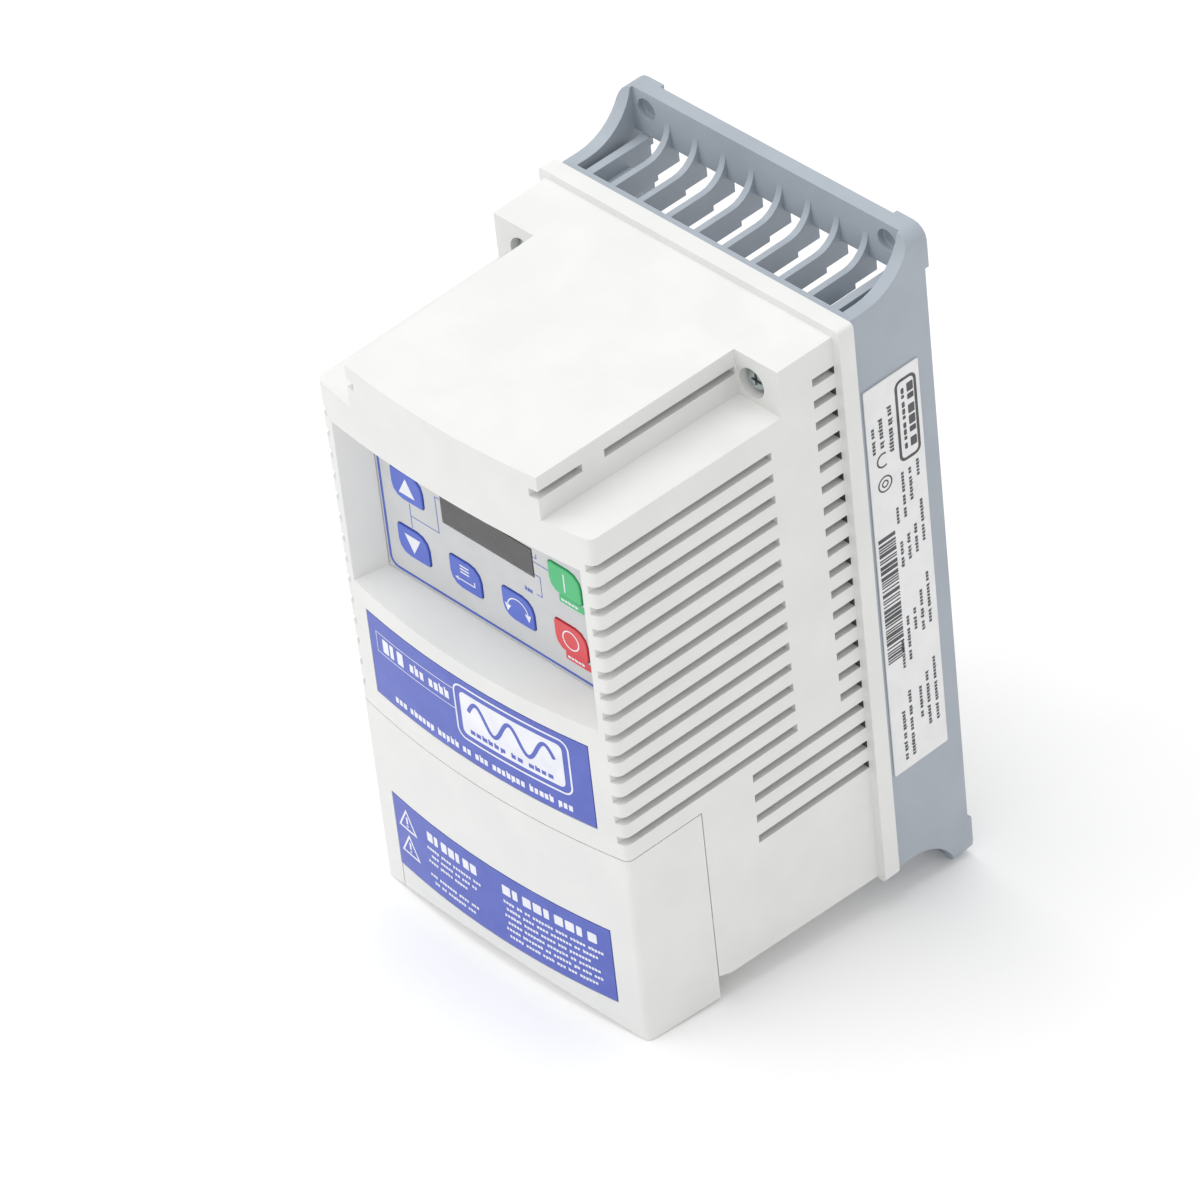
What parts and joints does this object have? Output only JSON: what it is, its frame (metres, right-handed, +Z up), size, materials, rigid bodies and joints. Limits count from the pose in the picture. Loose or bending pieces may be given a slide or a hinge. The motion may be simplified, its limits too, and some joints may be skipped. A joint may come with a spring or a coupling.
{
  "type": "variable frequency drive",
  "caption": "Compact wall-mounted motor drive: grey ribbed base with corner mounting holes, louvred white housing, recessed keypad with display, and a removable terminal cover.",
  "frame": {"origin": "under the middle of the drive's bounding box, level with the lower edge of the mounting plate", "axes": "+X to the right seen from the front, +Y back towards the wall, +Z up"},
  "size_m": [0.099, 0.111, 0.19],
  "materials": {
    "housing_white": "fine textured moulded plastic",
    "panel_white": "smooth overlay",
    "base_grey": "satin moulded plastic",
    "key_blue": "satin",
    "key_green": "satin",
    "key_red": "satin",
    "display_tint": "smoked window",
    "label_blue": "printed film",
    "label_white": "printed film",
    "zinc": "zinc plated",
    "aluminium": "as extruded",
    "brass": "plain",
    "board_green": "solder resist on glass epoxy",
    "component_black": "moulded case",
    "capacitor_sleeve": "shrink sleeve",
    "filter_yellow": "potted film case",
    "pad_grey": "soft filled silicone",
    "terminal_green": "moulded",
    "terminal_grey": "moulded"
  },
  "bodies": {
    "drive_body": {"rear_base": "base_grey", "heatsink": "aluminium", "thermal_pad": "pad_grey", "power_module": "component_black", "power_board": "board_green", "control_board": "board_green", "board_connector": "component_black", "relay": "component_black", "transformer": "component_black", "mains_choke": "component_black", "filter_capacitor": "filter_yellow", "front_housing": "housing_white", "keypad_panel": "panel_white", "display_window": "display_tint", "display_module": "component_black", "keypad_board": "board_green", "front_label": "label_blue", "rating_label": "label_white", "power_terminal_block": "terminal_grey", "control_terminal_block": "terminal_green", "memory_socket": "terminal_grey", "logic_switch_body": "component_black", "earth_tab": "brass", "earth_screw": "zinc", "board_standoff_1": "brass", "board_standoff_2": "brass", "board_standoff_3": "brass", "board_standoff_4": "brass", "dc_capacitor_1": "capacitor_sleeve", "dc_capacitor_2": "capacitor_sleeve", "dc_capacitor_3": "capacitor_sleeve", "terminal_screw_1": "zinc", "terminal_screw_2": "zinc", "terminal_screw_3": "zinc", "terminal_screw_4": "zinc", "terminal_screw_5": "zinc", "terminal_screw_6": "zinc", "terminal_screw_7": "zinc", "housing_screw_lower_left": "zinc", "heatsink_screw_lower_left": "zinc", "housing_screw_upper_left": "zinc", "heatsink_screw_upper_left": "zinc", "housing_screw_lower_right": "zinc", "heatsink_screw_lower_right": "zinc", "housing_screw_upper_right": "zinc", "heatsink_screw_upper_right": "zinc"},
    "terminal_cover": {"terminal_cover": "housing_white", "caution_label": "label_blue"},
    "memory_module": {"memory_module": "component_black"},
    "logic_switch_knob": {"logic_switch_knob": "panel_white"},
    "key_up": {"key_up": "key_blue"},
    "key_down": {"key_down": "key_blue"},
    "key_mode": {"key_mode": "key_blue"},
    "key_direction": {"key_direction": "key_blue"},
    "key_start": {"key_start": "key_green"},
    "key_stop": {"key_stop": "key_red"}
  },
  "joints": [
    {"name": "key_up_press", "type": "slide", "parent": "drive_body", "child": "key_up", "axis": [0, 1, 0], "range_m": [0, 0.0005], "stiffness_N_per_m": 2400},
    {"name": "key_down_press", "type": "slide", "parent": "drive_body", "child": "key_down", "axis": [0, 1, 0], "range_m": [0, 0.0005], "stiffness_N_per_m": 2400},
    {"name": "key_mode_press", "type": "slide", "parent": "drive_body", "child": "key_mode", "axis": [0, 1, 0], "range_m": [0, 0.0005], "stiffness_N_per_m": 2400},
    {"name": "key_direction_press", "type": "slide", "parent": "drive_body", "child": "key_direction", "axis": [0, 1, 0], "range_m": [0, 0.0005], "stiffness_N_per_m": 2400},
    {"name": "key_start_press", "type": "slide", "parent": "drive_body", "child": "key_start", "axis": [0, 1, 0], "range_m": [0, 0.0005], "stiffness_N_per_m": 2400},
    {"name": "key_stop_press", "type": "slide", "parent": "drive_body", "child": "key_stop", "axis": [0, 1, 0], "range_m": [0, 0.0005], "stiffness_N_per_m": 2400},
    {"name": "terminal_cover_pull", "type": "slide", "parent": "drive_body", "child": "terminal_cover", "axis": [0, -1, 0], "range_m": [0, 0.04]},
    {"name": "memory_module_pull", "type": "slide", "parent": "drive_body", "child": "memory_module", "axis": [0, -1, 0], "range_m": [0, 0.01]},
    {"name": "logic_switch_slide", "type": "slide", "parent": "drive_body", "child": "logic_switch_knob", "axis": [1, 0, 0], "range_m": [0, 0.002]}
  ]
}
